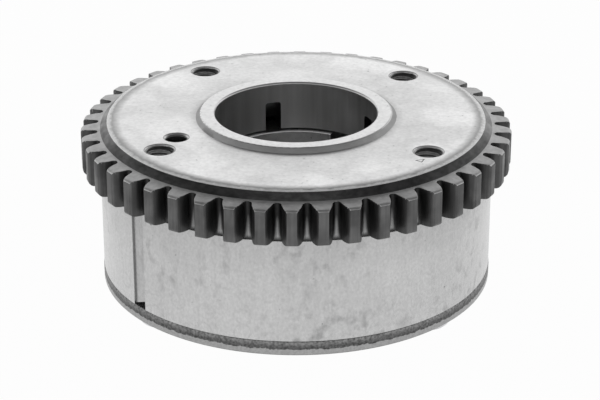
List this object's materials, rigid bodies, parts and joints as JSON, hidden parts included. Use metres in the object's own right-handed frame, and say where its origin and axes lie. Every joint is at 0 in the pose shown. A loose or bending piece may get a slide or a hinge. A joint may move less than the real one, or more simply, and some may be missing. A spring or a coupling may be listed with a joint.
{
  "type": "cam phaser",
  "caption": "Vane-type cam phaser: a toothed timing-chain sprocket bolted to a round vane housing and front cover, with a turning vane rotor, seals and lock pin inside.",
  "frame": {"origin": "on the turning axis at the underside of the bolt heads that the part stands on", "axes": "+Z along the turning axis towards the camshaft, -Y towards the viewer of the picture, +X to the picture's right"},
  "size_m": [0.0934, 0.0934, 0.0405],
  "materials": {
    "ground_steel": "sintered steel, ground face, dark hardened teeth",
    "housing_steel": "sized sintered steel with axial draw marks and oil stains",
    "cover_steel": "stamped sheet steel with a sheared edge",
    "bolt_steel": "zinc plated",
    "rotor_steel": "machined sintered steel",
    "hard_steel": "hardened and ground",
    "spring_steel": "bright spring steel",
    "seal_plastic": "matte moulded polymer"
  },
  "bodies": {
    "drum": {"sprocket": "ground_steel", "lock_bush": "hard_steel", "housing": "housing_steel", "front_cover": "cover_steel", "cover_bolts": "bolt_steel", "locating_dowel": "hard_steel", "shoe_seal_1": "seal_plastic", "shoe_seal_2": "seal_plastic", "shoe_seal_3": "seal_plastic", "shoe_seal_4": "seal_plastic", "shoe_seal_spring_1": "spring_steel", "shoe_seal_spring_2": "spring_steel", "shoe_seal_spring_3": "spring_steel", "shoe_seal_spring_4": "spring_steel"},
    "rotor": {"vane_rotor": "rotor_steel", "vane_seal_1": "seal_plastic", "vane_seal_2": "seal_plastic", "vane_seal_3": "seal_plastic", "vane_seal_4": "seal_plastic", "vane_seal_spring_1": "spring_steel", "vane_seal_spring_2": "spring_steel", "vane_seal_spring_3": "spring_steel", "vane_seal_spring_4": "spring_steel", "lock_pin_spring": "spring_steel", "lock_pin_retainer": "hard_steel"},
    "pin": {"lock_pin": "hard_steel"}
  },
  "joints": [
    {"name": "rotor_turn", "type": "hinge", "parent": "drum", "child": "rotor", "pos_m": [0, 0, 0], "axis": [0, 0, 1], "range_deg": [0, 27]},
    {"name": "lock_pin_slide", "type": "slide", "parent": "rotor", "child": "pin", "axis": [0, 0, -1], "range_m": [0, 0.0044], "stiffness_N_per_m": 600, "springref_m": -0.008, "deforming": ["lock_pin_spring"]}
  ]
}
